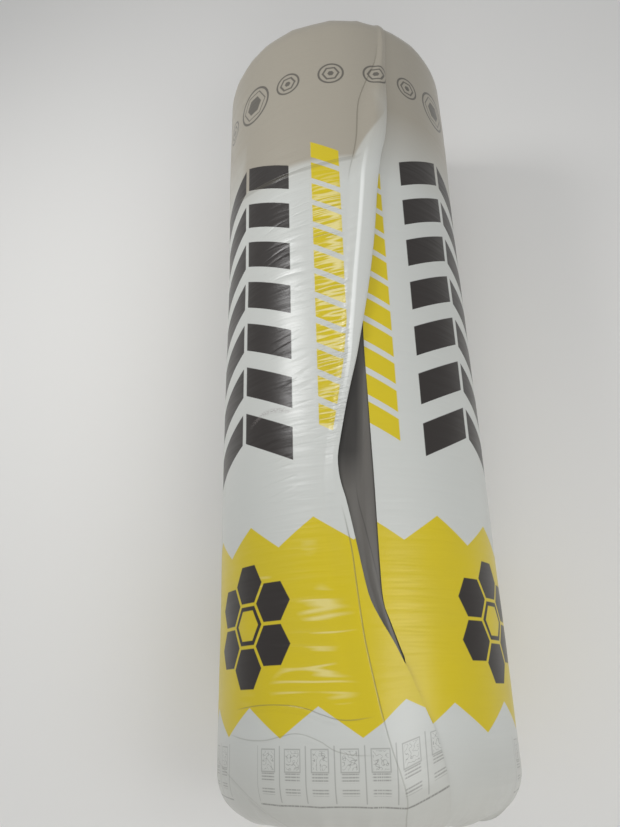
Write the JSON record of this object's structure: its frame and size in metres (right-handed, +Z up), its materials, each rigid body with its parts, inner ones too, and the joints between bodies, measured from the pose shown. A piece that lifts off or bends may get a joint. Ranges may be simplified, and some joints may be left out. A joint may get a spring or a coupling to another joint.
{
  "type": "insulation roll",
  "caption": "Roll of glass wool insulation mat lying on its side, in a printed film wrap that is pleated over both ends and gapes at its lengthwise lap.",
  "frame": {"origin": "centre of the roll's length, on the level surface that it lies on, under its axis", "axes": "+Y along the roll's axis towards the end that is far from the camera in the picture, +Z up, +X to the right; the lap of the film is on top, a little to +X"},
  "size_m": [0.384, 1.2028, 0.3909],
  "materials": {
    "glass_wool": "fibrous, matt",
    "dark_film": "satin polyethylene film",
    "printed_film": "glossy polyethylene film, printed in yellow and black"
  },
  "bodies": {
    "root": {"wool_roll": "glass_wool", "inner_film": "dark_film", "printed_film": "printed_film"}
  },
  "joints": []
}
